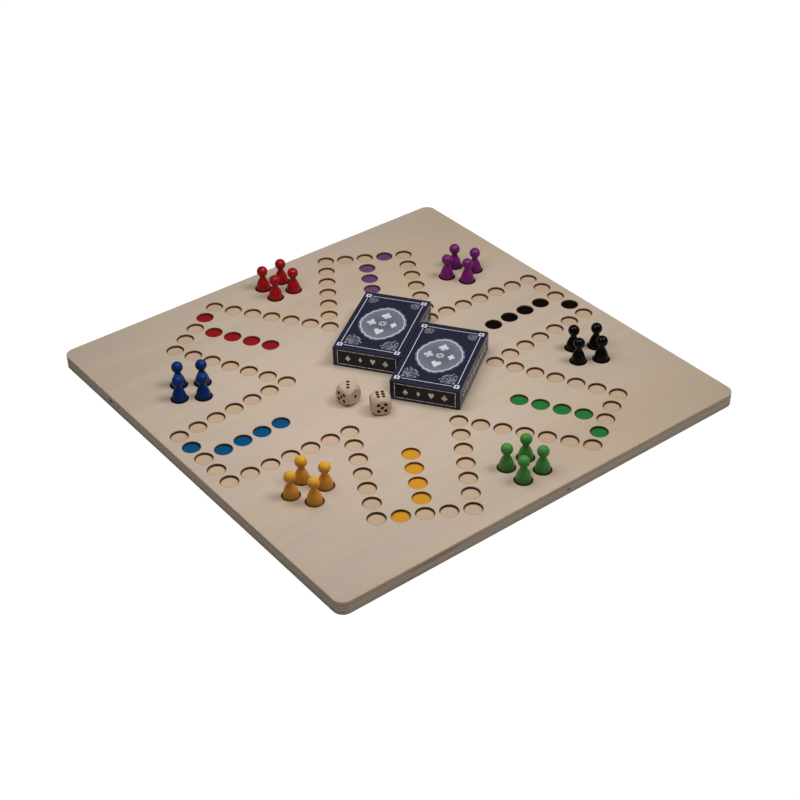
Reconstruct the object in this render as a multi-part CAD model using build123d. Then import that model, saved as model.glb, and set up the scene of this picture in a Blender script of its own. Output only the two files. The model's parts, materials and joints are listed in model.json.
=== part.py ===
from build123d import *
import math
import os

# Six-player race game: a square wooden board with sunk pockets, turned pawns, two dice and
# two tuck boxes of cards. Millimetres. The origin is the middle of the underside of the
# board, +Z is up, and +X and +Y run along its sides.

# The board is a plywood base under a thin plate that the pockets are cut through.
board_side = 400.0
board_corner_radius = 9.0
base_thickness = 10.0
plate_thickness = 2.0
arris_radius = 0.6

# The pockets lie one pitch apart round a star of six arms, one arm for each colour.
colours = ["black", "purple", "red", "blue", "yellow", "green"]
pocket_diameter = 15.0
pocket_pitch = 18.15
end_row_margin = 15.5
end_row_steps = 4
side_steps = 6
finish_count = 4
nest_pitch = 19.6

# Each pawn stands loosely in its pocket.
pawn_play = 1.1
pawn_height = 24.6
pawn_head_diameter = 9.7
pawn_neck_diameter = 5.3
pawn_neck_drop = 5.6
pawn_collar_angle = 50.0
pawn_belly_fullness = 0.65
pawn_waist_tightness = 0.15

# The dice are cubes turned down to a ball, with drilled pips.
die_size = 16.0
die_flat_diameter = 13.1
pip_diameter = 2.6
pip_depth = 0.5
pip_spread = 2.9
six_spread = 3.3
six_gap = 4.4
left_die_place = (-52.2, -10.2, 9.9)
right_die_place = (-40.0, -37.3, 63.0)

# Each box of cards is one folded blank of thin card round a deck.
card_length = 87.0
card_width = 57.0
card_corner_radius = 3.2
deck_thickness = 16.6
blank_thickness = 0.4
fold_radius = 0.6
deck_side_play = 0.7
deck_end_play = 0.4
deck_head_play = 0.6
slip = 0.05
dust_flap_reach = 15.0
dust_flap_taper = 2.5
tuck_reach = 14.0
tuck_side_play = 1.0
tuck_corner_radius = 6.0

# The right box lies beside the left one. Both are turned to the board by about the same angle.
left_box_corner = (1.8, -9.9)
left_box_turn = 34.7
right_box_turn = 34.8
box_gap = 1.0
box_stagger = 32.5

board_top = base_thickness + plate_thickness
end_row_reach = board_side / 2 - end_row_margin
box_width = card_width + 2 * (deck_side_play + blank_thickness)
box_length = card_length + 2 * deck_end_play + 3 * blank_thickness
box_height = deck_thickness + deck_head_play + 3 * blank_thickness + 2 * slip
lid_crease = box_length - blank_thickness


def on_arm(angle, outward, right):
    """Board place that lies so far out along an arm and to its right-hand side."""
    turn = math.radians(angle)
    x = outward * math.cos(turn) + right * math.sin(turn)
    y = outward * math.sin(turn) - right * math.cos(turn)
    return (x, y)


def star_corner_radius():
    """Distance from the middle to the inner corners of the star, where two arms meet.

    It is the one that leaves side_steps whole pitches between each inner corner and the
    end of its arm's outer row."""
    half_row = end_row_steps * pocket_pitch / 2
    side = side_steps * pocket_pitch
    forward = end_row_reach * math.cos(math.pi / 6) + half_row / 2
    return forward - math.sqrt(forward**2 + side**2 - end_row_reach**2 - half_row**2)


def arm_pockets(angle):
    """Track and finish pockets of one arm: the outer row, both sides, one inner corner."""
    half_row = end_row_steps * pocket_pitch / 2
    corner_reach = star_corner_radius() * math.cos(math.pi / 6)
    corner_offset = star_corner_radius() / 2
    places = []
    for step in range(end_row_steps + 1):
        places.append((end_row_reach, step * pocket_pitch - half_row))
    for step in range(1, side_steps):
        share = step / side_steps
        reach = end_row_reach + share * (corner_reach - end_row_reach)
        offset = half_row + share * (corner_offset - half_row)
        places += [(reach, offset), (reach, -offset)]
    places.append((corner_reach, corner_offset))
    for step in range(1, finish_count + 1):
        places.append((end_row_reach - step * pocket_pitch, 0.0))
    return [on_arm(angle, reach, offset) for reach, offset in places]


def nest_pockets(angle):
    """Four pockets in a square, half way between an arm and the arm on its right."""
    nest_reach = end_row_reach - pocket_pitch
    half = nest_pitch / 2
    corners = [(half, -half), (half, half), (-half, -half), (-half, half)]
    nest_angle = angle - 180 / len(colours)
    return [on_arm(nest_angle, nest_reach + out, right) for out, right in corners]


def colour_angles():
    return {colour: index * 360 / len(colours) for index, colour in enumerate(colours)}


def board_outline():
    return RectangleRounded(board_side, board_side, board_corner_radius)


def make_base_board():
    board = extrude(board_outline(), base_thickness)
    underside = board.faces().sort_by(Axis.Z)[0]
    return fillet(underside.edges(), arris_radius)


def make_top_plate():
    places = []
    for angle in colour_angles().values():
        places += arm_pockets(angle) + nest_pockets(angle)
    pockets = [Pos(x, y) * Circle(pocket_diameter / 2) for x, y in places]
    plate = Pos(0, 0, base_thickness) * extrude(board_outline() - pockets, plate_thickness)
    top_face = plate.faces().sort_by(Axis.Z)[-1]
    return fillet(top_face.outer_wire().edges(), arris_radius)


def make_pawn():
    """Turned pawn: a bell-shaped body, a narrow neck and a ball head."""
    foot_radius = pocket_diameter / 2 - pawn_play
    neck_radius = pawn_neck_diameter / 2
    head_radius = pawn_head_diameter / 2
    head_centre = pawn_height - head_radius
    neck_height = head_centre - pawn_neck_drop
    collar = math.radians(pawn_collar_angle)
    collar_point = (head_radius * math.cos(collar), head_centre - head_radius * math.sin(collar))
    belly_point = (foot_radius, pawn_belly_fullness * neck_height)
    waist_point = (neck_radius, (1 - pawn_waist_tightness) * neck_height)
    cove_point = (neck_radius, (neck_height + collar_point[1]) / 2)

    foot = Line((0, 0), (foot_radius, 0))
    body = Bezier(foot @ 1, belly_point, waist_point, (neck_radius, neck_height))
    neck = Bezier(body @ 1, cove_point, collar_point)
    head = ThreePointArc(neck @ 1, (head_radius, head_centre), (0, pawn_height))
    core = Line(head @ 1, (0, 0))
    profile = make_face(foot + body + neck + head + core)
    return revolve(Plane.XZ * profile, Axis.Z)


def pip_places(number):
    """Places of the pips of one face, from its middle, in the traditional pattern."""
    near, far = -pip_spread, pip_spread
    middle = [(0, 0)]
    diagonal = [(near, near), (far, far)]
    other_diagonal = [(near, far), (far, near)]
    columns = [(along, side) for along in (-six_spread, 0, six_spread) for side in (-six_gap / 2, six_gap / 2)]
    patterns = {
        1: middle,
        2: diagonal,
        3: diagonal + middle,
        4: diagonal + other_diagonal,
        5: diagonal + other_diagonal + middle,
        6: columns,
    }
    return patterns[number]


def make_die(top, left, right):
    """Die with the given numbers on its top, -X and -Y faces. Opposite faces add up to 7."""
    half = die_size / 2
    ball_radius = math.hypot(half, die_flat_diameter / 2)
    faces = {
        (0, 0, 1): top,
        (0, 0, -1): 7 - top,
        (-1, 0, 0): left,
        (1, 0, 0): 7 - left,
        (0, -1, 0): right,
        (0, 1, 0): 7 - right,
    }
    drill = Rot(180, 0, 0) * Cone(pip_diameter / 2, 0, pip_depth, align=(Align.CENTER, Align.CENTER, Align.MIN))
    pips = []
    for normal, number in faces.items():
        x_dir = (1, 0, 0) if normal[0] == 0 else (0, 1, 0)
        face_plane = Plane(Vector(normal) * half, x_dir=x_dir, z_dir=normal)
        pips += [face_plane * Pos(x, y, 0) * drill for x, y in pip_places(number)]
    die = Box(die_size, die_size, die_size) & Sphere(ball_radius)
    return Pos(0, 0, half) * (die - pips)


def long_box(start, end, width, low, high, radius):
    """Bar along X from start to end, with its four long edges rounded."""
    bar = Pos((start + end) / 2, 0, (low + high) / 2) * Box(end - start, width, high - low)
    return fillet(bar.edges().filter_by(Axis.X), radius)


def make_card_box():
    """Sleeve of the folded blank: four long walls and the glued end, open at the lid."""
    sleeve = long_box(0, lid_crease, box_width, 0, box_height, fold_radius)
    inner_width = box_width - 2 * blank_thickness
    inner_top = box_height - blank_thickness
    inner_radius = fold_radius - blank_thickness
    hollow = long_box(blank_thickness, lid_crease, inner_width, blank_thickness, inner_top, inner_radius)
    return sleeve - hollow


def make_dust_flaps():
    """Two side flaps, folded in behind the lid."""
    low = 2 * (blank_thickness + slip)
    high = box_height - blank_thickness - slip
    wall = box_width / 2 - blank_thickness
    tip = wall - dust_flap_reach
    outline = Polyline(
        (wall, low), (tip, low + dust_flap_taper), (tip, high - dust_flap_taper), (wall, high), close=True
    )
    flap_plane = Plane((lid_crease - blank_thickness, 0, 0), x_dir=(0, 1, 0), z_dir=(1, 0, 0))
    flap = extrude(flap_plane * make_face(outline), blank_thickness)
    return Compound([flap, mirror(flap, Plane.XZ)])


def make_box_lid():
    """End panel, hinged on the crease along its upper edge."""
    return long_box(lid_crease, box_length, box_width, slip, box_height, fold_radius)


def make_tuck_flap():
    """Tongue on the lower edge of the lid. It slides in along the floor of the sleeve."""
    width = box_width - 2 * (blank_thickness + tuck_side_play)
    low = blank_thickness + slip
    middle = (lid_crease - tuck_reach / 2, 0, low + blank_thickness / 2)
    tongue = Pos(middle) * Box(tuck_reach, width, blank_thickness)
    tip_corners = tongue.edges().filter_by(Axis.Z).group_by(Axis.X)[0]
    return fillet(tip_corners, tuck_corner_radius)


def make_card_deck():
    """The cards, squared up to one stack on the tuck flap."""
    start = blank_thickness + deck_end_play
    low = 2 * (blank_thickness + slip)
    stack = extrude(RectangleRounded(card_length, card_width, card_corner_radius), deck_thickness)
    return Pos(start + card_length / 2, 0, low) * stack


def box_locations():
    """Where the near end of each box lies: the middle of its lower edge."""
    left_frame = Pos(left_box_corner[0], left_box_corner[1], board_top) * Rot(0, 0, left_box_turn)
    left = left_frame * Pos(0, box_width / 2, 0)
    right_corner = left_frame * Pos(-box_stagger, -box_gap, 0)
    right = right_corner * Rot(0, 0, right_box_turn - left_box_turn) * Pos(0, -box_width / 2, 0)
    return {"left": left, "right": right}


def save(node, shape):
    export_step(shape, f"parts/{node}.step")


def save_pawns():
    pawn = make_pawn()
    for colour, angle in colour_angles().items():
        for number, (x, y) in enumerate(nest_pockets(angle), start=1):
            save(f"{colour}_pawn_{number}", Pos(x, y, base_thickness) * pawn)


def save_dice():
    left_x, left_y, left_turn = left_die_place
    right_x, right_y, right_turn = right_die_place
    save("left_die", Pos(left_x, left_y, board_top) * Rot(0, 0, left_turn) * make_die(3, 5, 1))
    save("right_die", Pos(right_x, right_y, board_top) * Rot(0, 0, right_turn) * make_die(6, 5, 3))


def save_card_boxes():
    for side, location in box_locations().items():
        save(f"{side}_card_box", location * make_card_box())
        save(f"{side}_dust_flaps", location * make_dust_flaps())
        save(f"{side}_card_deck", location * make_card_deck())
        save(f"{side}_box_lid", location * make_box_lid())
        save(f"{side}_tuck_flap", location * make_tuck_flap())


os.makedirs("parts", exist_ok=True)
save("base_board", make_base_board())
save("top_plate", make_top_plate())
save_pawns()
save_dice()
save_card_boxes()
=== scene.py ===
import json
import math

import bpy
from mathutils import Matrix, Vector


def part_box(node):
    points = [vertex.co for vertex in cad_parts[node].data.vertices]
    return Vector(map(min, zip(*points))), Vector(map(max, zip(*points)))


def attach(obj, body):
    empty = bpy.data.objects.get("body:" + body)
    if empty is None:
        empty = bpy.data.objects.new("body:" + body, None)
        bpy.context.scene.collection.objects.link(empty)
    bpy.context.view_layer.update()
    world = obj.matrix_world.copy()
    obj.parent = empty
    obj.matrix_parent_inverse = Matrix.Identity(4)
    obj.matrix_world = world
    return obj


# The set as CAD made it: the board, the pawns, the dice and the two boxes of cards. Each piece
# stays where CAD put it, and every size is in metres.
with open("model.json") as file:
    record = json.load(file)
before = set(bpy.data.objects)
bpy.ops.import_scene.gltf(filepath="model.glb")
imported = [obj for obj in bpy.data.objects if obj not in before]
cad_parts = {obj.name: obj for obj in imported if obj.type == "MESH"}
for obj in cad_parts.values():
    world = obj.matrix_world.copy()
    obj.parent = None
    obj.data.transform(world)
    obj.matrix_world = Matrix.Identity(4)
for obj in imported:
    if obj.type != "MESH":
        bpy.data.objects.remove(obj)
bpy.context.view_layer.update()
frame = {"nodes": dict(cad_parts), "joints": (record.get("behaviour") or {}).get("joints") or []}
nodes = frame["nodes"]
mm = 0.001

# The view: from high over the near corner of the board, through a long lens. The small roll is
# the photograph's own.
view_place = Vector((-0.653172, -0.868696, 0.779060))
view_direction = Vector((0.48866, 0.64146, -0.59139))
view_up = Vector((0.37456, 0.45795, 0.80622))
view_right = view_direction.cross(view_up)
camera = bpy.data.objects.new("camera", bpy.data.cameras.new("camera"))
camera.data.lens = 71.82
camera.data.sensor_width = 36
camera.data.shift_x = -0.00055
camera.data.shift_y = 0.00052
camera.matrix_world = Matrix((view_right, view_up, -view_direction)).transposed().to_4x4()
camera.location = view_place
bpy.context.scene.collection.objects.link(camera)
bpy.context.scene.camera = camera


# The studio: one large softbox to the right of the view, one overhead, and a white sweep of
# paper, which glows to the camera alone and hardly lights the set.
class Wire:
    """A socket of a finish. Arithmetic on wires adds Math nodes to the finish they belong to."""

    def __init__(self, tree, socket=None):
        self.tree = tree
        self.socket = socket

    def node(self, kind, settings=None, inputs=None, output=0):
        """Adds a node with its settings, or a ramp's stops, and a value or wire for each input."""
        made = self.tree.nodes.new("ShaderNode" + kind)
        for name, value in (settings or {}).items():
            if name == "stops":
                elements = made.color_ramp.elements
                while len(elements) < len(value):
                    elements.new(0.5)
                for element, (place, colour) in zip(elements, value):
                    element.position = place
                    element.color = (*colour, 1)
            else:
                setattr(made, name, value)
        for name, value in (inputs or {}).items():
            if isinstance(value, Wire):
                self.tree.links.new(value.socket, made.inputs[name])
            else:
                made.inputs[name].default_value = value
        return Wire(self.tree, made.outputs[output])

    def math(self, operation, *others):
        """Adds a Math node for this wire and for the others that the operation takes."""
        return self.node("Math", {"operation": operation}, dict(enumerate((self, *others))))

    def parts(self):
        """X, Y and Z of a vector."""
        split = self.node("SeparateXYZ", None, {0: self}).socket.node
        return [Wire(self.tree, socket) for socket in split.outputs]

    def __add__(self, other):
        return self.math("ADD", other)

    def __sub__(self, other):
        return self.math("SUBTRACT", other)

    def __rsub__(self, other):
        return self.node("Math", {"operation": "SUBTRACT"}, {0: other, 1: self})

    def __mul__(self, other):
        return self.math("MULTIPLY", other)

    def __truediv__(self, other):
        return self.math("DIVIDE", other)

    def __lt__(self, other):
        return self.math("LESS_THAN", other)

    def __gt__(self, other):
        return self.math("GREATER_THAN", other)

    def __abs__(self):
        return self.math("ABSOLUTE")

    __radd__ = __add__
    __rmul__ = __mul__


def shade(level):
    """The grey of a level."""
    return (level, level, level)


def blend_colours(finish, mask, below, above, mode="MIX"):
    """Blends two colours or wires: below where the mask is 0, and above where it is 1."""
    factor, first, second, result = 0, 6, 7, 2
    inputs = {factor: mask}
    for socket, colour in ((first, below), (second, above)):
        inputs[socket] = colour if isinstance(colour, Wire) else (*colour, 1)
    return finish.node("Mix", {"data_type": "RGBA", "blend_type": mode}, inputs, result)


def softbox(name, place, size, power):
    """Square area light that faces the middle of the board, and that the camera doesn't see."""
    lamp = bpy.data.objects.new(name, bpy.data.lights.new(name, "AREA"))
    lamp.data.size = size
    lamp.data.energy = power
    lamp.location = place
    lamp.rotation_euler = lamp.location.to_track_quat("Z", "Y").to_euler()
    lamp.visible_camera = False
    bpy.context.scene.collection.objects.link(lamp)


softbox("right_softbox", (0.63, -0.49, 1.27), size=0.5, power=7.45)
softbox("overhead_softbox", (-0.073, 0.005, 0.40), size=0.33, power=0.90)

bpy.context.scene.view_settings.view_transform = "Standard"
world = bpy.data.worlds.new("white_room")
bpy.context.scene.world = world
world.use_nodes = True
room = Wire(world.node_tree)
room_light, backdrop = shade(0.165), shade(1.04)
glow = blend_colours(room, room.node("LightPath"), room_light, backdrop)
room.tree.links.new(glow.socket, room.tree.nodes["Background"].inputs["Color"])

floor_gap = 0.2 * mm
bpy.ops.object.select_all(action="DESELECT")
bpy.ops.mesh.primitive_plane_add(size=8, location=(0, 0, -floor_gap))
floor = bpy.context.object
floor.name = "paper_sweep"
paper = bpy.data.materials.new("white_paper")
paper.use_nodes = True
sweep = Wire(paper.node_tree)
paper_glow, shadow_share = 1.07, 0.08
unlit = sweep.node("Emission", None, {"Color": (1, 1, 1, 1), "Strength": paper_glow})
lit = sweep.node("BsdfDiffuse", None, {"Color": (0.8, 0.8, 0.8, 1)})
shown = sweep.node("MixShader", None, {0: shadow_share, 1: unlit, 2: lit})
surface = sweep.node("MixShader", None, {0: sweep.node("LightPath"), 1: lit, 2: shown})
sweep.tree.links.new(surface.socket, sweep.tree.nodes["Material Output"].inputs["Surface"])
floor.data.materials.append(paper)


# The base board: birch plywood, 9 plies, sawn square, its corners rounded and its arrises sanded.
# Its clean upper face shows as the floor of the pockets.
def new_finish(name):
    """A new finish, as the wire that its nodes hang on, and where a point of the set is."""
    material = bpy.data.materials.new(name)
    material.use_nodes = True
    finish = Wire(material.node_tree)
    place = finish.node("TexCoord", None, None, "Object")
    return material, finish, place


def surface_of(material, inputs):
    """Sets the sockets of a finish's shader, to values or to wires."""
    shader = material.node_tree.nodes["Principled BSDF"]
    for name, value in inputs.items():
        if isinstance(value, Wire):
            material.node_tree.links.new(value.socket, shader.inputs[name])
        else:
            shader.inputs[name].default_value = value


def cover(node, material):
    """Gives a CAD node its finish."""
    nodes[node].data.materials.clear()
    nodes[node].data.materials.append(material)


def noise(finish, place, stretch, detail, roughness, offset=(0, 0, 0)):
    """Soft noise whose spots are as long, in millimetres, as stretch says along each axis."""
    scale = [1 / (length * mm) for length in stretch]
    moved = finish.node("Mapping", None, {"Vector": place, "Scale": scale, "Location": offset})
    settings = {"Vector": moved, "Scale": 1.0, "Detail": detail, "Roughness": roughness}
    return finish.node("TexNoise", None, settings)


def ramp(finish, value, *stops):
    """Colour of a value, from stops of a place and its colour."""
    return finish.node("ValToRGB", {"stops": stops}, {"Fac": value})


def true_normal(finish):
    """The way that a face of a piece looks."""
    return finish.node("NewGeometry", None, None, "True Normal")


def toned(finish, colour, *tones):
    """A colour times one tone, or times a tone each for its red, green and blue."""
    channels = tones if len(tones) == 3 else 3 * tones
    shading = finish.node("CombineColor", None, dict(enumerate(channels)))
    return blend_colours(finish, 1.0, colour, shading, "MULTIPLY")


def relief(finish, height, depth, strength):
    """Normal of a surface that is as uneven as a height from 0 to 1 says, to a depth."""
    return finish.node("Bump", None, {"Height": height, "Distance": depth, "Strength": strength})


def oval(along, middle, half_length, across, level, half_width):
    """1 in the middle of an oval, 0 on its rim and less than 0 beyond it."""
    u = (along - middle) / half_length
    v = (across - level) / half_width
    return 1 - (u * u + v * v)


def birch(finish, place, offset, yellow, pink):
    """Colour and height of sanded birch veneer, its grain along X, between two tints. It has a
    painted shade that makes it a little darker towards the left and right corners of the board,
    and two yellow bands."""
    x, y, _ = place.parts()
    broad = noise(finish, place, (300, 60, 60), 4, 0.6, offset)
    tint = noise(finish, place, (110, 28, 28), 3, 0.6, [shift + 7 for shift in offset])
    streak = noise(finish, place, (100, 7.5, 7.5), 4, 0.55, offset)
    fibre = noise(finish, place, (12, 0.42, 0.42), 3, 0.6, offset)
    pore = noise(finish, place, (3.5, 0.28, 0.28), 1, 0.5, offset)
    to_pink = ramp(finish, tint, (0.36, shade(0)), (0.64, shade(1)))
    flecks = ramp(finish, pore, (0.66, shade(0)), (0.74, shade(1)))
    # Painted shade: the veneer is darkened towards the left and right corners, where the light
    # falls off.
    corner_span = 340 * mm
    shade_to_corner = (x - y) / corner_span
    tone = 0.79 + 0.24 * broad + 0.15 * streak + 0.07 * fibre
    tone = tone - 0.065 * shade_to_corner * shade_to_corner - 0.08 * flecks
    half_length, half_width = 170 * mm, 60 * mm
    upper_band = oval(x, 110 * mm, half_length, y, 125 * mm, half_width)
    lower_band = oval(x, 130 * mm, half_length, y, -175 * mm, half_width)
    band = upper_band.math("MAXIMUM", 0) + lower_band.math("MAXIMUM", 0)
    red_loss, green_loss, blue_loss = 0.02, 0.04, 0.11
    tones = [tone * (1 - loss * band) for loss in (red_loss, green_loss, blue_loss)]
    colour = toned(finish, blend_colours(finish, to_pink, yellow, pink), *tones)
    return colour, fibre - 0.6 * flecks


def stain(along, middle, half_length, depth, level, half_depth):
    """Mark on the edge of the board: 1 inside a flat oval with a soft rim, and 0 beyond it."""
    sharpness = 1.6
    mark = sharpness * oval(along, middle, half_length, depth, level, half_depth)
    return mark.math("MINIMUM", 1).math("MAXIMUM", 0)


def ply_edges(finish, place):
    """Colour and height of the sawn edge: brown cross plies, pale glue lines and a few voids, whose
    dark colour is painted shade.
    """
    x, y, z = place.parts()
    wobble = noise(finish, place, (50, 50, 10), 2, 0.5)
    run = noise(finish, place, (45, 45, 1.1), 4, 0.65)
    speckle = noise(finish, place, (0.9, 0.9, 0.5), 2, 0.6)
    depth = board_top - z
    face, brown, dark = (0.60, 0.48, 0.355), (0.42, 0.315, 0.225), (0.385, 0.295, 0.22)
    low, light = (0.355, 0.29, 0.23), (0.57, 0.47, 0.365)
    plies = ramp(
        finish, (depth + 0.4 * mm * wobble) / board_top,
        (0.04, face), (0.16, brown), (0.37, dark), (0.41, light), (0.44, light), (0.47, dark),
        (0.54, brown), (0.57, dark), (0.62, light), (0.66, light), (0.69, low), (0.79, low),
        (0.82, light), (0.84, light), (0.87, low), (1.00, low),
    )
    colour = toned(finish, plies, 0.65 + 0.62 * run + 0.12 * speckle)
    inner = 190 * mm
    on_left, on_right = x < -inner, y < -inner
    smudge = on_right * stain(x, -115 * mm, 30 * mm, depth, 3.4 * mm, 2.2 * mm)
    colour = blend_colours(finish, 0.42 * smudge, colour, (0.14, 0.085, 0.055))
    # The voids are real gaps in the inner plies; their dark colour is painted shade of the hollow.
    long_void = on_left * stain(y, 119 * mm, 4.2 * mm, depth, 5.0 * mm, 1.4 * mm)
    short_void = on_left * stain(y, 107 * mm, 2.0 * mm, depth, 5.5 * mm, 0.9 * mm)
    knot = on_right * stain(x, 15.3 * mm, 2.2 * mm, depth, 6.8 * mm, 1.1 * mm)
    shaded_voids = long_void.math("MAXIMUM", short_void).math("MAXIMUM", 0.7 * knot)
    colour = blend_colours(finish, shaded_voids, colour, (0.022, 0.013, 0.01))
    return colour, run + 0.7 * speckle - 2 * shaded_voids


def board_surface(material, finish, face, edge, roughness, sawn_roughness):
    """Sets a board's surface from the colour and height of its flat faces and of its edges."""
    (face_colour, face_height), (edge_colour, edge_height) = face, edge
    _, _, facing_up = true_normal(finish).parts()
    upright = ramp(finish, abs(facing_up), (0.55, shade(1)), (0.85, shade(0)))
    height = face_height * (1 - upright) + edge_height * upright
    surface_of(material, {
        "Base Color": blend_colours(finish, upright, face_colour, edge_colour),
        "Roughness": roughness + (sawn_roughness - roughness) * upright,
        "Specular IOR Level": 0.25,
        "Normal": relief(finish, height, 0.05 * mm, 0.5),
    })


board_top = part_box("top_plate")[1].z
plywood, finish, place = new_finish("plywood")
floor_veneer = birch(finish, place, (3, 1, 5), (0.592, 0.430, 0.274), (0.627, 0.444, 0.325))
sawn_edge = ply_edges(finish, place)
board_surface(plywood, finish, floor_veneer, sawn_edge, roughness=0.62, sawn_roughness=0.74)
cover("base_board", plywood)

# The face plate: thin birch ply glued on the base, with the pockets burnt through it by a laser,
# which leaves their walls brown.
floor_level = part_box("base_board")[1].z
face_plate, finish, place = new_finish("face_plate")
top_veneer = birch(finish, place, (0, 0, 0), (0.612, 0.496, 0.368), (0.617, 0.486, 0.40))
plies, ply_height = ply_edges(finish, place)
x, y, z = place.parts()
pocket_reach = 196 * mm
in_pockets = abs(x).math("MAXIMUM", abs(y)) < pocket_reach
soot_and_shade = noise(finish, place, (4, 4, 1.5), 3, 0.6)
burn = (z - floor_level) / (board_top - floor_level) + 0.35 * soot_and_shade
scorched, singed, clean = (0.082, 0.028, 0.004), (0.118, 0.044, 0.008), (0.54, 0.37, 0.24)
char = ramp(finish, burn, (0.3, scorched), (0.84, singed), (1.0, clean))
cut_edge = blend_colours(finish, in_pockets, plies, char), ply_height
board_surface(face_plate, finish, top_veneer, cut_edge, roughness=0.6, sawn_roughness=0.75)
cover("top_plate", face_plate)

# The scorch: the laser browns the veneer a little beyond the wall of each pocket. The dark margin
# on the floor within, at the foot of the wall, is part laser browning and part painted shade of
# the corner. The pockets run round a star of six arms, as they do in the plate.
colours = ["black", "purple", "red", "blue", "yellow", "green"]
arm_angles = {colour: 60 * index for index, colour in enumerate(colours)}
pocket_radius = 7.5 * mm
pocket_pitch = 18.15 * mm
end_row_reach = 184.5 * mm
side_steps = 6


def on_arm(angle, outward, right):
    """Board place that lies so far out along an arm and to its right-hand side."""
    turn = math.radians(angle)
    x = outward * math.cos(turn) + right * math.sin(turn)
    y = outward * math.sin(turn) - right * math.cos(turn)
    return (x, y)


def track_pockets(angle):
    """The outer row of one arm, both its sides, and the inner corner on its right."""
    half_row = 2 * pocket_pitch
    forward = end_row_reach * math.cos(math.pi / 6) + half_row / 2
    run = side_steps * pocket_pitch
    corner_radius = forward - math.sqrt(forward**2 + run**2 - end_row_reach**2 - half_row**2)
    corner_reach, corner_offset = corner_radius * math.cos(math.pi / 6), corner_radius / 2
    places = [(end_row_reach, step * pocket_pitch - half_row) for step in range(5)]
    for step in range(1, side_steps):
        share = step / side_steps
        reach = end_row_reach + share * (corner_reach - end_row_reach)
        offset = half_row + share * (corner_offset - half_row)
        places += [(reach, offset), (reach, -offset)]
    places.append((corner_reach, corner_offset))
    return [on_arm(angle, reach, offset) for reach, offset in places]


def finish_pockets(angle):
    """The four pockets that lead inwards along the middle of an arm."""
    return [on_arm(angle, end_row_reach - step * pocket_pitch, 0) for step in range(1, 5)]


def nest_pockets(colour):
    """Middles of the pockets that the four pawns of a colour stand in."""
    boxes = [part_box(f"{colour}_pawn_{number}") for number in range(1, 5)]
    return [tuple((low + high).to_2d() / 2) for low, high in boxes]


def new_disc(radius, height, vertices):
    """Flat disc that lies level at a height, over the middle of the board."""
    bpy.ops.object.select_all(action="DESELECT")
    bpy.ops.mesh.primitive_circle_add(
        vertices=vertices, radius=radius, fill_type="NGON", location=(0, 0, height),
    )
    return bpy.context.object


def thicken(piece, depth):
    """Gives a flat piece its depth, downwards, and applies its place."""
    solid = piece.modifiers.new("depth", "SOLIDIFY")
    solid.thickness = depth
    solid.offset = -1
    bpy.ops.object.modifier_apply(modifier=solid.name)
    bpy.ops.object.transform_apply(location=True)


def copy_to(piece, x, y):
    """Copy of a piece, with a mesh of its own, moved over the board."""
    twin = piece.copy()
    twin.data = piece.data.copy()
    twin.data.transform(Matrix.Translation((x, y, 0)))
    bpy.context.scene.collection.objects.link(twin)
    return twin


def join(pieces, name, body, material):
    """Makes the pieces one, names it, finishes it and lets it ride on its body."""
    bpy.ops.object.select_all(action="DESELECT")
    for piece in pieces:
        piece.select_set(True)
    bpy.context.view_layer.objects.active = pieces[0]
    bpy.ops.object.join()
    joined = bpy.context.object
    joined.name = name
    joined.data.name = name
    joined.data.materials.clear()
    joined.data.materials.append(material)
    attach(joined, body)


def new_ring(radius, width, height, depth):
    """Thin flat ring that lies level, with its top at the given height."""
    ring = new_disc(radius, height, vertices=32)
    bpy.ops.object.mode_set(mode="EDIT")
    bpy.ops.mesh.inset(thickness=width)
    bpy.ops.mesh.delete(type="FACE")
    bpy.ops.object.mode_set(mode="OBJECT")
    thicken(ring, depth)
    return ring


scorch_width, scorch_rise = 0.24 * mm, 0.008 * mm
shaded_margin_width, nest_shade_width = 0.70 * mm, 1.05 * mm
margin_play, film = 0.03 * mm, 0.01 * mm
rim = new_ring(pocket_radius + scorch_width, scorch_width, board_top + scorch_rise, 2 * scorch_rise)
shaded_margin = new_ring(pocket_radius - margin_play, shaded_margin_width, floor_level + 2 * film, film)
nest_shade_ring = new_ring(
    pocket_radius - 2 * margin_play, nest_shade_width, floor_level + 7 * film, film,
)
rings = []
nest_shade_rings = []
for colour, angle in arm_angles.items():
    unpainted, nest = track_pockets(angle), nest_pockets(colour)
    rings += [copy_to(rim, x, y) for x, y in unpainted + finish_pockets(angle) + nest]
    rings += [copy_to(shaded_margin, x, y) for x, y in unpainted]
    nest_shade_rings += [copy_to(nest_shade_ring, x, y) for x, y in nest]
for ring in (rim, shaded_margin, nest_shade_ring):
    bpy.data.objects.remove(ring)
scorch_and_shade, finish, place = new_finish("scorched_and_shaded_birch")
soot_and_shade = noise(finish, place, (3, 3, 3), 3, 0.6)
on_floor = place.parts()[2] < (floor_level + board_top) / 2
browned = ramp(finish, soot_and_shade, (0.3, (0.24, 0.145, 0.085)), (0.75, (0.40, 0.28, 0.18)))
# Painted shade with some browning: the margin of the floor at the foot of the wall is darker.
burnt_and_shaded = ramp(finish, soot_and_shade, (0.3, (0.09, 0.045, 0.018)), (0.75, (0.19, 0.11, 0.055)))
surface_of(scorch_and_shade, {
    "Base Color": blend_colours(finish, on_floor, browned, burnt_and_shaded),
    "Roughness": 0.6 + 0.2 * soot_and_shade,
    "Specular IOR Level": 0.2,
})
join(rings, "pocket_scorch_and_shade", "board", scorch_and_shade)

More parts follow.
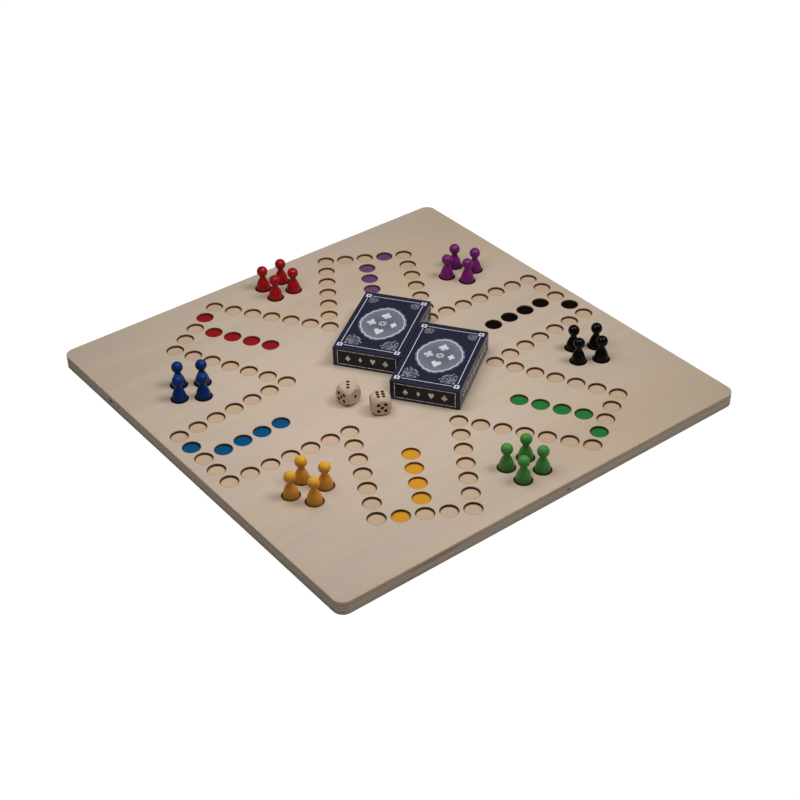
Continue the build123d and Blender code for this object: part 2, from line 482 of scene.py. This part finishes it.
# The painted shade of the nests: a dark ring on the floor round each foot stands for the shade in
# the gap between the pawn and the wall of its pocket. In the yellow nest it is lighter and brown,
# as the yellow paint shows through the shade.
nest_painted_shade, finish, place = new_finish("nest_painted_shade")
soot_and_shade = noise(finish, place, (3, 3, 3), 3, 0.6)
x, y, _ = place.parts()
yellow_x, yellow_y = [sum(middle) / len(middle) for middle in zip(*nest_pockets("yellow"))]
nest_reach = 2 * pocket_pitch
in_yellow_nest = oval(x, yellow_x, nest_reach, y, yellow_y, nest_reach) > 0
# Painted shade: near-black rings, and brown ones in the yellow nest.
black_shade = ramp(finish, soot_and_shade, (0.3, (0.008, 0.005, 0.004)), (0.75, (0.03, 0.018, 0.012)))
brown_shade = ramp(finish, soot_and_shade, (0.3, (0.05, 0.019, 0.006)), (0.75, (0.115, 0.046, 0.016)))
surface_of(nest_painted_shade, {
    "Base Color": blend_colours(finish, in_yellow_nest, black_shade, brown_shade),
    "Roughness": 0.6 + 0.2 * soot_and_shade,
    "Specular IOR Level": 0.15,
})
join(nest_shade_rings, "nest_painted_shade", "board", nest_painted_shade)

# The paint of the pockets: a brushed coat of each player's colour on the floor of the start
# pocket, the four finish pockets and the four nest pockets, a little thicker at the wall.
paint_colours = {
    "black": (0.003, 0.0018, 0.001),
    "purple": (0.155, 0.07, 0.175),
    "red": (0.31, 0.009, 0.013),
    "blue": (0.0005, 0.083, 0.217),
    "yellow": (0.71, 0.324, 0.022),
    "green": (0.023, 0.20, 0.043),
}
paint_play = 0.04 * mm
paint_depth = 0.05 * mm
paint_rim, rim_rise = 0.35 * mm, 0.03 * mm


def pocket_paint(colour):
    """Finish of a brushed coat in a player's colour."""
    material, finish, place = new_finish(f"{colour}_paint")
    grain = noise(finish, place, (50, 1.8, 1.8), 3, 0.6)
    brush = noise(finish, place, (7, 0.5, 0.5), 2, 0.6)
    surface_of(material, {
        "Base Color": toned(finish, paint_colours[colour], 0.86 + 0.20 * grain + 0.10 * brush),
        "Roughness": 0.42 + 0.16 * grain,
        "Specular IOR Level": 0.08,
        "Normal": relief(finish, grain + 0.5 * brush, 0.08 * mm, 0.6),
    })
    return material


coat = new_disc(pocket_radius - paint_play, floor_level + paint_depth, vertices=48)
bpy.ops.object.mode_set(mode="EDIT")
bpy.ops.mesh.inset(thickness=paint_rim, depth=-rim_rise)
bpy.ops.object.mode_set(mode="OBJECT")
thicken(coat, paint_depth)
for colour, angle in arm_angles.items():
    start = on_arm(angle, end_row_reach, pocket_pitch)
    painted = [start] + finish_pockets(angle) + nest_pockets(colour)
    coats = [copy_to(coat, x, y) for x, y in painted]
    join(coats, f"{colour}_pocket_paint", "board", pocket_paint(colour))
bpy.data.objects.remove(coat)

# The pawns: turned from beech on a lathe and tumbled in gloss lacquer. Their colour is darkened
# under the head and towards the foot as painted shade, and the body is a little deeper in colour
# than the head, partly painted shade.
head_colours = {
    "black": (0.0010, 0.0009, 0.0008),
    "purple": (0.196, 0.0135, 0.165),
    "red": (0.36, 0.0035, 0.006),
    "blue": (0.002, 0.0315, 0.17),
    "yellow": (0.84, 0.42, 0.031),
    "green": (0.068, 0.295, 0.055),
}
body_colours = {
    "black": (0.0010, 0.0009, 0.0008),
    "purple": (0.196, 0.0125, 0.165),
    "red": (0.385, 0.0055, 0.0085),
    "blue": (0.002, 0.028, 0.155),
    "yellow": (0.79, 0.35, 0.054),
    "green": (0.072, 0.275, 0.052),
}
foot_shades = {
    "black": 0.32, "purple": 0.35, "red": 0.36, "blue": 0.28, "yellow": 0.66, "green": 0.42,
}
sheens = {
    "black": (0.09, 0.16),
    "purple": (0.18, 0.26),
    "red": (0.16, 0.26),
    "blue": (0.16, 0.14),
    "yellow": (0.26, 0.14),
    "green": (0.22, 0.22),
}
pawn_height = 24.6 * mm
for colour in colours:
    roughness, gloss = sheens[colour]
    material, finish, place = new_finish(f"{colour}_lacquer")
    runs = noise(finish, place, (6, 6, 12), 2, 0.5)
    peel = noise(finish, place, (1.1, 1.1, 1.1), 2, 0.5)
    above_floor = (place.parts()[2] - floor_level) / pawn_height
    # Painted shade: the lacquer is darkened towards the foot, on the neck and under the head.
    painted_shade = ramp(
        finish, above_floor,
        (0.06, shade(foot_shades[colour])), (0.15, shade(0.70)), (0.42, shade(0.92)),
        (0.55, shade(0.92)), (0.64, shade(0.70)), (0.78, shade(0.75)), (0.86, shade(0.86)),
        (0.93, shade(1)),
    )
    on_head = ramp(finish, above_floor, (0.76, shade(0)), (0.93, shade(1)))
    lacquer = blend_colours(finish, on_head, body_colours[colour], head_colours[colour])
    surface_of(material, {
        "Base Color": toned(finish, lacquer, (0.9 + 0.2 * runs) * painted_shade),
        "Roughness": roughness + 0.10 * runs,
        "Specular IOR Level": gloss,
        "Normal": relief(finish, peel, 0.03 * mm, 0.4),
    })
    for number in range(1, 5):
        cover(f"{colour}_pawn_{number}", material)

# The dice: cubes of pale beech, tumbled round, with shallow drilled pips that are painted black.
# The numbers are those that the view shows on top, on the left and on the right.
die_half = 8 * mm
pip_radius = 1.3 * mm
pip_depth = 0.5 * mm
pip_spread = 2.9 * mm
six_spread, six_gap = 3.3 * mm, 4.4 * mm
pip_coat = 0.03 * mm
die_turns = {"left": 9.9, "right": 63.0}
die_numbers = {"left": (3, 5, 1), "right": (6, 5, 3)}


def pip_places(number):
    """Places of the pips of one face, from its middle, in the traditional pattern."""
    near, far = -pip_spread, pip_spread
    diagonal = [(near, near), (far, far)]
    other_diagonal = [(near, far), (far, near)]
    if number == 6:
        sides = (-six_gap / 2, six_gap / 2)
        return [(along, side) for along in (-six_spread, 0, six_spread) for side in sides]
    places = [(0, 0)] if number % 2 else []
    places += diagonal if number > 1 else []
    places += other_diagonal if number > 3 else []
    return places


def own_frame(finish, place, middle, turn):
    """A place as the frame of a piece has it, which lies at the middle and is turned about Z."""
    lie = {"Vector": place, "Location": middle, "Rotation": (0, 0, turn)}
    return finish.node("Mapping", {"vector_type": "TEXTURE"}, lie)


def pip_film():
    """Film of paint on the wall of one drilled pip, which opens along Z."""
    smear, lap, rise = 0.19 * mm, 0.17 * mm, 0.01 * mm
    wall_width, wall_depth = 0.95 * pip_radius, 0.75 * pip_depth
    film = new_disc(pip_radius + smear, rise, vertices=24)
    bpy.ops.object.mode_set(mode="EDIT")
    bpy.ops.mesh.inset(thickness=lap)
    bpy.ops.mesh.inset(thickness=wall_width, depth=-wall_depth)
    bpy.ops.object.mode_set(mode="OBJECT")
    thicken(film, pip_coat)
    return film


die_paint, finish, place = new_finish("pip_paint")
mottle = noise(finish, place, (0.7, 0.7, 0.7), 2, 0.6)
wet, dry = (0.003, 0.0025, 0.0025), (0.009, 0.007, 0.006)
surface_of(die_paint, {
    "Base Color": ramp(finish, mottle, (0.3, wet), (0.8, dry)),
    "Roughness": 0.45 + 0.2 * mottle,
    "Specular IOR Level": 0.2,
})
for side in ("left", "right"):
    low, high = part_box(f"{side}_die")
    middle = (low + high) / 2
    turn = math.radians(die_turns[side])
    material, finish, place = new_finish(f"{side}_die_wood")
    local = own_frame(finish, place, middle, turn)
    growth = noise(finish, local, (12, 1.6, 1.6), 3, 0.6)
    fleck = noise(finish, local, (2.2, 0.4, 0.4), 2, 0.6)
    wood = ramp(finish, growth, (0.3, (0.53, 0.385, 0.262)), (0.7, (0.62, 0.475, 0.352)))
    surface_of(material, {
        "Base Color": toned(finish, wood, 0.9 + 0.18 * fleck),
        "Roughness": 0.5,
        "Normal": relief(finish, fleck, 0.04 * mm, 0.5),
    })
    cover(f"{side}_die", material)

    top, left, right = die_numbers[side]
    numbers = {
        (0, 0, 1): top, (0, 0, -1): 7 - top, (-1, 0, 0): left, (1, 0, 0): 7 - left,
        (0, -1, 0): right, (0, 1, 0): 7 - right,
    }
    die_place = Matrix.Translation(middle) @ Matrix.Rotation(turn, 4, "Z")
    film = pip_film()
    films = []
    for normal, number in numbers.items():
        out = Vector(normal)
        across = Vector((1, 0, 0)) if normal[0] == 0 else Vector((0, 1, 0))
        up = out.cross(across)
        facing = Matrix((across, up, out)).transposed().to_4x4()
        for x, y in pip_places(number):
            seat = Matrix.Translation(out * die_half + across * x + up * y)
            twin = copy_to(film, 0, 0)
            twin.data.transform(die_place @ seat @ facing)
            films.append(twin)
    bpy.data.objects.remove(film)
    join(films, f"{side}_pip_paint", f"{side}_die", die_paint)

# The card boxes: each is one blank of thin white board, printed dark blue and varnished, then
# creased, folded and glued. The prints are films of silver and grey ink in a design of suits.
box_half_width = 29.6 * mm
box_half_height = 9.25 * mm
box_length = 89.0 * mm
lid_crease = 88.6 * mm
board_thickness = 0.4 * mm
panel_margin = 2.45 * mm
panel_end_margin = 3.9 * mm


def box_frame(side):
    """Matrix from a box's own frame, X along it from the near end, to the set's."""
    hinge = next(joint for joint in frame["joints"] if joint["name"] == f"{side}_lid_hinge")
    across = -Vector(hinge["axis"])
    along = across.cross(Vector((0, 0, 1)))
    origin = Vector(hinge["pos_m"]) - along * lid_crease - Vector((0, 0, 2 * box_half_height))
    turned = Matrix((along, across, Vector((0, 0, 1)))).transposed().to_4x4()
    return Matrix.Translation(origin) @ turned


def in_box(finish, place, box):
    """Wires for the place in a box's own frame: along it, across it and up from its middle."""
    local = own_frame(finish, place, box.translation, box.to_euler().z)
    along, across, up = local.parts()
    return local, along, across, up - box_half_height


def card_board(side, box):
    """Printed and varnished outside, bare inside and where the board is cut."""
    material, finish, place = new_finish(f"{side}_box_print")
    local, along, across, up = in_box(finish, place, box)
    from_side = box_half_width - abs(across)
    from_top = box_half_height - abs(up)
    from_end = along.math("MINIMUM", box_length - along)
    depth = from_side.math("MINIMUM", from_top).math("MINIMUM", from_end)
    cut_width = 0.01 * mm
    cut = abs(along - lid_crease) < cut_width
    printed = (depth < board_thickness / 2) * (1 - cut)

    print_grain = noise(finish, local, (0.6, 0.6, 0.6), 2, 0.6)
    sheet_tone = noise(finish, local, (30, 30, 30), 2, 0.5)
    navy = ramp(finish, sheet_tone, (0.3, (0.0105, 0.012, 0.034)), (0.7, (0.015, 0.0165, 0.043)))
    on_side = (from_side < board_thickness) * (from_end > panel_margin)
    on_end = (from_end < board_thickness) * (from_side > panel_end_margin)
    in_frame = (from_top > panel_margin) * (on_side + on_end)
    ink = blend_colours(finish, in_frame, navy, (0.0012, 0.0008, 0.002))
    # The ink turns a paler bluish grey in a mottled line along the folds and edges.
    fold = (from_side + from_top).math("MINIMUM", from_side + from_end)
    fold = fold.math("MINIMUM", from_top + from_end)
    fold_mottle = noise(finish, local, (6, 6, 6), 4, 0.7)
    paler_at_folds = ramp(finish, fold / mm - 1.1 * fold_mottle, (0.0, shade(0.35)), (0.12, shade(0)))
    ink = blend_colours(finish, paler_at_folds, ink, (0.075, 0.075, 0.10))
    bare = ramp(finish, print_grain, (0.3, (0.55, 0.52, 0.46)), (0.7, (0.68, 0.65, 0.59)))
    surface_of(material, {
        "Base Color": blend_colours(finish, printed, bare, ink),
        "Roughness": 0.8 - 0.5 * printed + 0.06 * print_grain,
        "Specular IOR Level": 0.3,
        "Normal": relief(finish, sheet_tone + 0.04 * print_grain, 0.2 * mm, 0.15),
    })
    return material


smooth, corner = "AUTO", "VECTOR"


def mirrored(half):
    """Closed outline from its right-hand half, which runs from top to bottom."""
    return half + [(-x, y, kind) for x, y, kind in reversed(half) if x]


suits = {
    "spade": mirrored([
        (0, 1, corner), (0.42, 0.36, smooth), (0.92, -0.22, smooth), (0.52, -0.62, smooth),
        (0.10, -0.36, corner), (0.40, -1, corner),
    ]),
    "diamond": mirrored([
        (0, 1, corner), (0.33, 0.44, smooth), (0.74, 0, corner), (0.33, -0.44, smooth),
        (0, -1, corner),
    ]),
    "heart": mirrored([
        (0, 0.58, corner), (0.46, 0.95, smooth), (0.92, 0.46, smooth), (0.56, -0.26, smooth),
        (0, -1, corner),
    ]),
    "club": mirrored([
        (0, 1, smooth), (0.40, 0.60, smooth), (0.13, 0.17, corner), (0.55, 0.25, smooth),
        (0.96, -0.16, smooth), (0.54, -0.57, smooth), (0.11, -0.24, corner), (0.34, -1, corner),
    ]),
}


def placed(outline, x, y, size, turn=0.0, width=None):
    """Outline drawn at a place, with its half height and half width, turned anticlockwise."""
    wide = size if width is None else width
    c, s = math.cos(math.radians(turn)), math.sin(math.radians(turn))
    drawn = []
    for right, up, kind in outline:
        right, up = right * wide, up * size
        drawn.append((x + right * c - up * s, y + right * s + up * c, kind))
    return drawn


petal = mirrored([(0, 1, smooth), (0.088, 0.74, smooth), (0.02, 0.30, corner)])
dot_turns = [math.radians(angle) for angle in range(0, 360, 60)]
dot = [(math.cos(turn), math.sin(turn), smooth) for turn in dot_turns]
square = [(-1, -1, corner), (1, -1, corner), (1, 1, corner), (-1, 1, corner)]


def beaded_rule(start, end, bars, width):
    """Ruled line of short bars, along X or Y, with a bead between each two."""
    pitch_x, pitch_y = (end[0] - start[0]) / bars, (end[1] - start[1]) / bars
    half_bar = 0.41 * max(abs(pitch_x), abs(pitch_y))
    half_bead = 0.95 * width
    half_x, half_y = (half_bar, width / 2) if pitch_x else (width / 2, half_bar)
    rule = []
    for step in range(bars):
        x, y = start[0] + (step + 0.5) * pitch_x, start[1] + (step + 0.5) * pitch_y
        rule.append(placed(square, x, y, half_y, width=half_x))
        if step:
            rule.append(placed(suits["diamond"], x - pitch_x / 2, y - pitch_y / 2, half_bead))
    return rule


def beaded_frame(half_width, half_height, block, bars_x, bars_y, line):
    """Four beaded rules between corner blocks, each of which has a diamond cut out of it."""
    clearance, diamond = 1.3 * block, 0.7 * block
    reach_x, reach_y = half_width - clearance, half_height - clearance
    design = []
    for side in (-1, 1):
        x, y = side * half_width, side * half_height
        design += beaded_rule((-reach_x, y), (reach_x, y), bars_x, line)
        design += beaded_rule((x, -reach_y), (x, reach_y), bars_y, line)
        for up in (-1, 1):
            design.append(placed(square, x, up * half_height, block))
            design.append(placed(suits["diamond"], x, up * half_height, diamond))
    return design


def corner_fan(x, y, across, up, length):
    """Fan of hollow petals that opens from a corner of the frame towards the middle."""
    petals, petal_angle = 5, 18
    eye_place, eye_radius = 0.09 * length, 0.08 * length
    bead_reach, bead_radius = 0.93 * length, 0.05 * length
    fan = [placed(dot, eye_place, eye_place, eye_radius)]
    for step in range(petals):
        lean = petal_angle * (step + 0.5)
        s, c = math.sin(math.radians(lean)), math.cos(math.radians(lean))
        reach = length * (1 - 0.09 * abs(step - 2))
        hollow_start, hollow_reach = 0.24 * reach, 0.66 * reach
        fan.append(placed(petal, 0, 0, reach, -lean))
        fan.append(placed(petal, hollow_start * s, hollow_start * c, hollow_reach, -lean))
    for step in range(1, petals):
        lean = math.radians(petal_angle * step)
        bead_x, bead_y = bead_reach * math.sin(lean), bead_reach * math.cos(lean)
        fan.append(placed(dot, bead_x, bead_y, bead_radius))
    return [[(x + across * px, y + up * py, kind) for px, py, kind in outline] for outline in fan]


def lozenge(half_width, half_height):
    """Rounded lozenge with a scalloped edge."""
    scallops, scallop, sharpness = 20, 0.03, 1.15
    outline = []
    for step in range(2 * scallops):
        turn = math.pi * step / scallops
        c, s = math.cos(turn), math.sin(turn)
        x = half_width * math.copysign(abs(c) ** sharpness, c)
        y = half_height * math.copysign(abs(s) ** sharpness, s)
        reach = 1 + scallop * (step % 2)
        outline.append((x * reach, y * reach, smooth if step % 2 else corner))
    return outline


ink_rise, weld = 0.012 * mm, 0.001 * mm


def printed_film(outlines, panel, level):
    """Film of ink on a panel of a box, from outlines in millimetres. Films of a higher level
    stand prouder, so that they show over the others."""
    curve = bpy.data.curves.new("ink", "CURVE")
    curve.dimensions = "2D"
    curve.fill_mode = "BOTH"
    curve.extrude = level * ink_rise
    curve.resolution_u = 4
    for outline in outlines:
        spline = curve.splines.new("BEZIER")
        spline.bezier_points.add(len(outline) - 1)
        spline.use_cyclic_u = True
        for point, (x, y, kind) in zip(spline.bezier_points, outline):
            point.co = (x * mm, y * mm, 0)
            point.handle_left_type = kind
            point.handle_right_type = kind
    film = bpy.data.objects.new("ink", curve)
    bpy.context.scene.collection.objects.link(film)
    bpy.ops.object.select_all(action="DESELECT")
    film.select_set(True)
    bpy.context.view_layer.objects.active = film
    bpy.ops.object.convert(target="MESH")
    bpy.ops.object.mode_set(mode="EDIT")
    bpy.ops.mesh.select_all(action="SELECT")
    bpy.ops.mesh.remove_doubles(threshold=weld)
    bpy.ops.mesh.normals_make_consistent(inside=False)
    bpy.ops.object.mode_set(mode="OBJECT")
    bpy.context.object.data.transform(panel)
    return bpy.context.object


def panel_at(box, place, right, up):
    """Where a panel of a box lies: its middle, and its ways right and up, seen from outside."""
    right, up = Vector(right), Vector(up)
    facing = Matrix((right, up, right.cross(up))).transposed().to_4x4()
    return box @ Matrix.Translation(place) @ facing


def end_design():
    """Frame and the four suits in a row."""
    design = beaded_frame(25.5, 6.7, block=0.5, bars_x=6, bars_y=2, line=0.55)
    row = {"spade": (-16.4, 2.3), "diamond": (-5.5, 2.35), "heart": (5.4, 2.5), "club": (16.4, 2.6)}
    for name, (x, half_width) in row.items():
        design.append(placed(suits[name], x, 0, 2.75, width=half_width))
    return design


def long_design():
    """Frame and a row of hollow diamonds with flowers between them."""
    design = beaded_frame(41.5, 6.7, block=0.5, bars_x=12, bars_y=2, line=0.55)
    pitch = 11
    for step in range(-3, 4):
        design += [placed(suits["diamond"], pitch * step, 0, size) for size in (4.4, 2.4)]
    for step in range(-3, 3):
        for turn in (45, 135, 225, 315):
            design.append(placed(petal, pitch * (step + 0.5), 0, 3.4, turn, width=7.5))
    return design


def grey_design():
    """Medallion, and fans in the corners of the frame."""
    design = [lozenge(20.2, 25.0)]
    corner_x, corner_y = 22.6, 36.5
    for across in (-1, 1):
        design += corner_fan(-corner_x * across, -corner_y, across, 1, length=15.5)
        design += corner_fan(-corner_x * across, corner_y, across, -1, length=9)
    return design


def top_design():
    """Beaded frame, and the suits in a cross on the medallion."""
    design = beaded_frame(25.0, 38.9, block=2.3, bars_x=9, bars_y=14, line=0.62)
    design += [lozenge(18.9, 23.4), lozenge(18.0, 22.4)]
    design.append(placed(suits["spade"], 0, 12.6, 4.8))
    design.append(placed(suits["heart"], 0, -12.6, 4.5))
    design.append(placed(suits["club"], -9.6, 0, 4.3))
    design.append(placed(suits["diamond"], 9.6, 0, 4.5))
    for turn in range(0, 360, 45):
        design.append(placed(petal, 0, 0, 3.8, turn, width=7.0))
    return design


silver, finish, place = new_finish("silver_ink")
wipe = noise(finish, place, (8, 8, 8), 3, 0.6)
surface_of(silver, {
    "Base Color": ramp(finish, wipe, (0.3, (0.60, 0.605, 0.67)), (0.7, (0.76, 0.765, 0.83))),
    "Roughness": 0.38 + 0.12 * wipe,
})


def grey_ink(side, box):
    """Halftone grey, palest at the corners of the box."""
    material, finish, place = new_finish(f"{side}_grey_ink")
    local, along, across, _ = in_box(finish, place, box)
    screen = noise(finish, local, (0.8, 0.8, 0.8), 2, 0.6)
    from_middle = along - box_length / 2
    reach = (from_middle * from_middle + across * across).math("SQRT")
    field = ramp(
        finish, reach / box_length,
        (0.05, (0.115, 0.12, 0.16)), (0.27, (0.20, 0.205, 0.26)), (0.36, (0.31, 0.315, 0.37)),
    )
    surface_of(material, {
        "Base Color": toned(finish, field, 0.88 + 0.24 * screen),
        "Roughness": 0.4 + 0.1 * screen,
    })
    return material


def raw_board(side, box):
    """Bare inside of the blank, printed on the faces that the fold turns outwards or down."""
    material, finish, place = new_finish(f"{side}_flap_board")
    fibre = noise(finish, place, (1.5, 1.5, 0.4), 3, 0.65)
    bare = ramp(finish, fibre, (0.3, (0.58, 0.55, 0.49)), (0.7, (0.70, 0.67, 0.61)))
    normal = true_normal(finish)
    _, _, facing_up = normal.parts()
    way_out = {0: normal, 1: box.to_3x3().col[0]}
    facing_out = finish.node("VectorMath", {"operation": "DOT_PRODUCT"}, way_out, "Value")
    outside = (facing_out > 0.5) + (facing_up < -0.5)
    surface_of(material, {
        "Base Color": blend_colours(finish, outside, bare, (0.010, 0.011, 0.030)),
        "Roughness": 0.8 - 0.4 * outside,
        "Normal": relief(finish, fibre, 0.03 * mm, 0.5),
    })
    return material


def card_stack(side, box):
    """The cut edges of the cards as fine lines, and a latticed back inside a white border."""
    material, finish, place = new_finish(f"{side}_cards")
    local, along, across, up = in_box(finish, place, box)
    card_pitch = 0.289 * mm
    uneven = noise(finish, local, (20, 20, 0.4), 2, 0.6)
    line = (up * (2 * math.pi / card_pitch)).math("SINE")
    light = 0.5 + 0.25 * line + 0.5 * (uneven - 0.5)
    edge = ramp(finish, light, (0.1, shade(0.52)), (0.7, (0.80, 0.79, 0.76)))
    radians_per_metre = 2800
    rising = ((along + across) * radians_per_metre).math("SINE")
    falling = ((along - across) * radians_per_metre).math("SINE")
    lattice = rising * falling > 0
    middle, half_length, half_width = 44.3 * mm, 40 * mm, 24.5 * mm
    back = (abs(across) < half_width) * (abs(along - middle) < half_length)
    _, _, facing_up = true_normal(finish).parts()
    flat = abs(facing_up) > 0.5
    ink = back * (0.55 + 0.45 * lattice)
    face = blend_colours(finish, ink, (0.82, 0.81, 0.79), (0.03, 0.05, 0.20))
    surface_of(material, {
        "Base Color": blend_colours(finish, flat, edge, face),
        "Roughness": 0.55 - 0.2 * flat,
    })
    return material


for side in ("left", "right"):
    box = box_frame(side)
    outside, inside = card_board(side, box), raw_board(side, box)
    cover(f"{side}_card_box", outside)
    cover(f"{side}_box_lid", outside)
    cover(f"{side}_dust_flaps", inside)
    cover(f"{side}_tuck_flap", inside)
    cover(f"{side}_card_deck", card_stack(side, box))

    half_length, up = box_length / 2, (0, 0, 1)
    top = panel_at(box, (half_length, 0, 2 * box_half_height), (0, -1, 0), (1, 0, 0))
    near_end = panel_at(box, (0, 0, box_half_height), (0, -1, 0), up)
    far_end = panel_at(box, (box_length, 0, box_half_height), (0, 1, 0), up)
    right_side = panel_at(box, (half_length, -box_half_width, box_half_height), (1, 0, 0), up)
    left_side = panel_at(box, (half_length, box_half_width, box_half_height), (-1, 0, 0), up)
    greys = [printed_film(grey_design(), top, 1)]
    join(greys, f"{side}_box_medallion", f"{side}_card_box", grey_ink(side, box))
    sleeve_prints = [
        printed_film(top_design(), top, 2), printed_film(end_design(), near_end, 1),
        printed_film(long_design(), right_side, 1), printed_film(long_design(), left_side, 1),
    ]
    join(sleeve_prints, f"{side}_box_silver", f"{side}_card_box", silver)
    lid_prints = [printed_film(end_design(), far_end, 1)]
    join(lid_prints, f"{side}_lid_silver", f"{side}_box_lid", silver)
